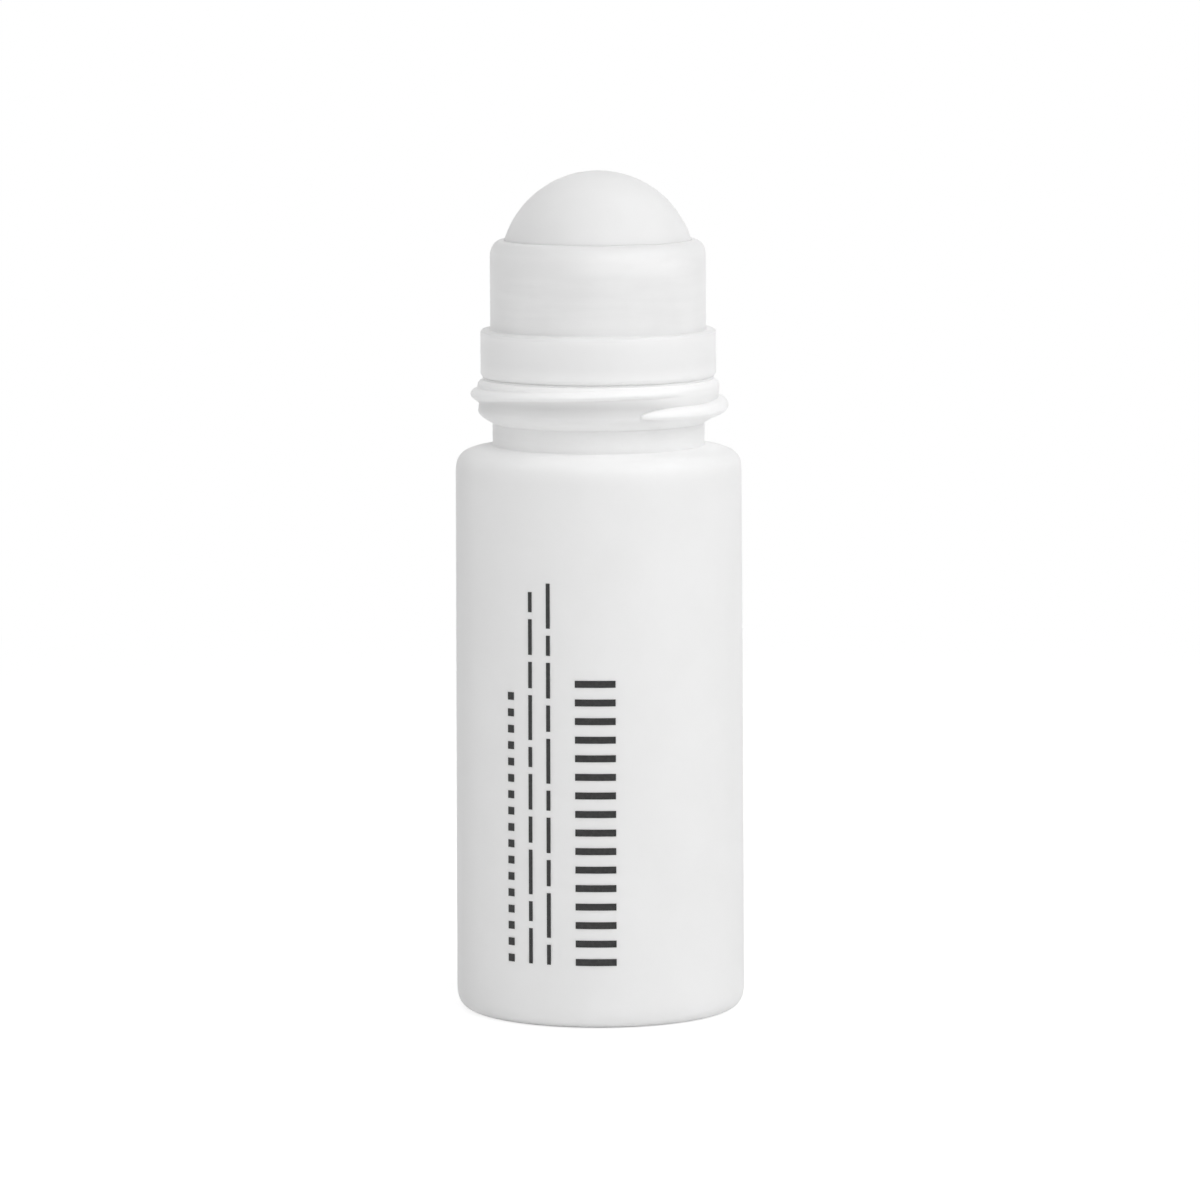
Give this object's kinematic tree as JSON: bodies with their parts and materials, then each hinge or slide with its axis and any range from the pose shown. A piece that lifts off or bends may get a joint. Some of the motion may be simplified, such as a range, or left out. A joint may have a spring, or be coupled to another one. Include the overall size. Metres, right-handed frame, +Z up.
{
  "type": "roll-on deodorant bottle",
  "caption": "Round plastic bottle with a threaded neck and a push-fit housing that holds a free-rolling ball, for spreading a liquid on skin.",
  "frame": {"origin": "middle of the standing ring under the base", "axes": "+Z up along the bottle's axis; -Y is the front that the picture shows; +X is to the right seen from the front"},
  "size_m": [0.0376, 0.0376, 0.1094],
  "materials": {
    "bottle": "satin white blown polyethylene",
    "housing": "natural, slightly translucent moulded polypropylene",
    "ball": "milky polished polypropylene"
  },
  "bodies": {
    "container": {"bottle": "bottle", "ball_housing": "housing"},
    "ball": {"ball_upper_shell": "ball", "ball_lower_shell": "ball"}
  },
  "joints": [
    {"name": "ball_roll", "type": "hinge", "parent": "container", "child": "ball", "pos_m": [0, 0, 0.0967], "axis": [1, 0, 0], "continuous": true}
  ]
}
